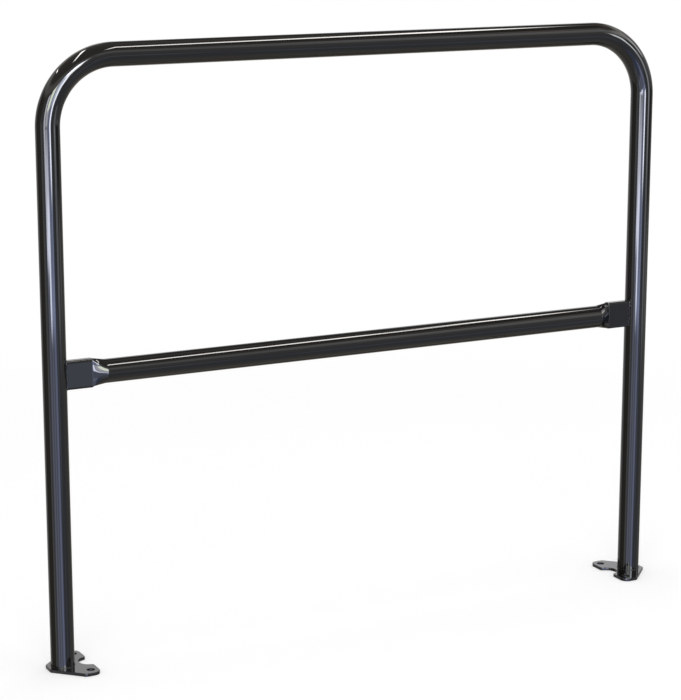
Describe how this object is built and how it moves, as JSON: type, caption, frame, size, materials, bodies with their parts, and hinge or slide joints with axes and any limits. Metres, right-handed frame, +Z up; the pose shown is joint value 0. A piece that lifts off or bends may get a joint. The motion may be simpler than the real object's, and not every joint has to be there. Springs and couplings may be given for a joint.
{
  "type": "safety railing",
  "caption": "Bent-tube safety railing: posts and top rail in one bend, a mid rail with pressed ends welded between the posts, and notched foot plates for bolting to a floor.",
  "frame": {"origin": "underside of the left foot plate, on the axis of the left post, at floor level", "axes": "+X along the railing from the left post to the right post, +Y to the back, +Z up"},
  "size_m": [1.2636, 0.124, 1.1],
  "materials": {
    "tube_coat": "high-gloss black coating on steel tube",
    "plate_coat": "high-gloss black coating on steel plate",
    "weld_coat": "gloss black coating over a rippled weld bead"
  },
  "bodies": {
    "root": {"hoop": "tube_coat", "mid_rail": "tube_coat", "left_foot_plate": "plate_coat", "right_foot_plate": "plate_coat", "left_foot_weld": "weld_coat", "right_foot_weld": "weld_coat", "left_rail_weld": "weld_coat", "right_rail_weld": "weld_coat"}
  },
  "joints": []
}
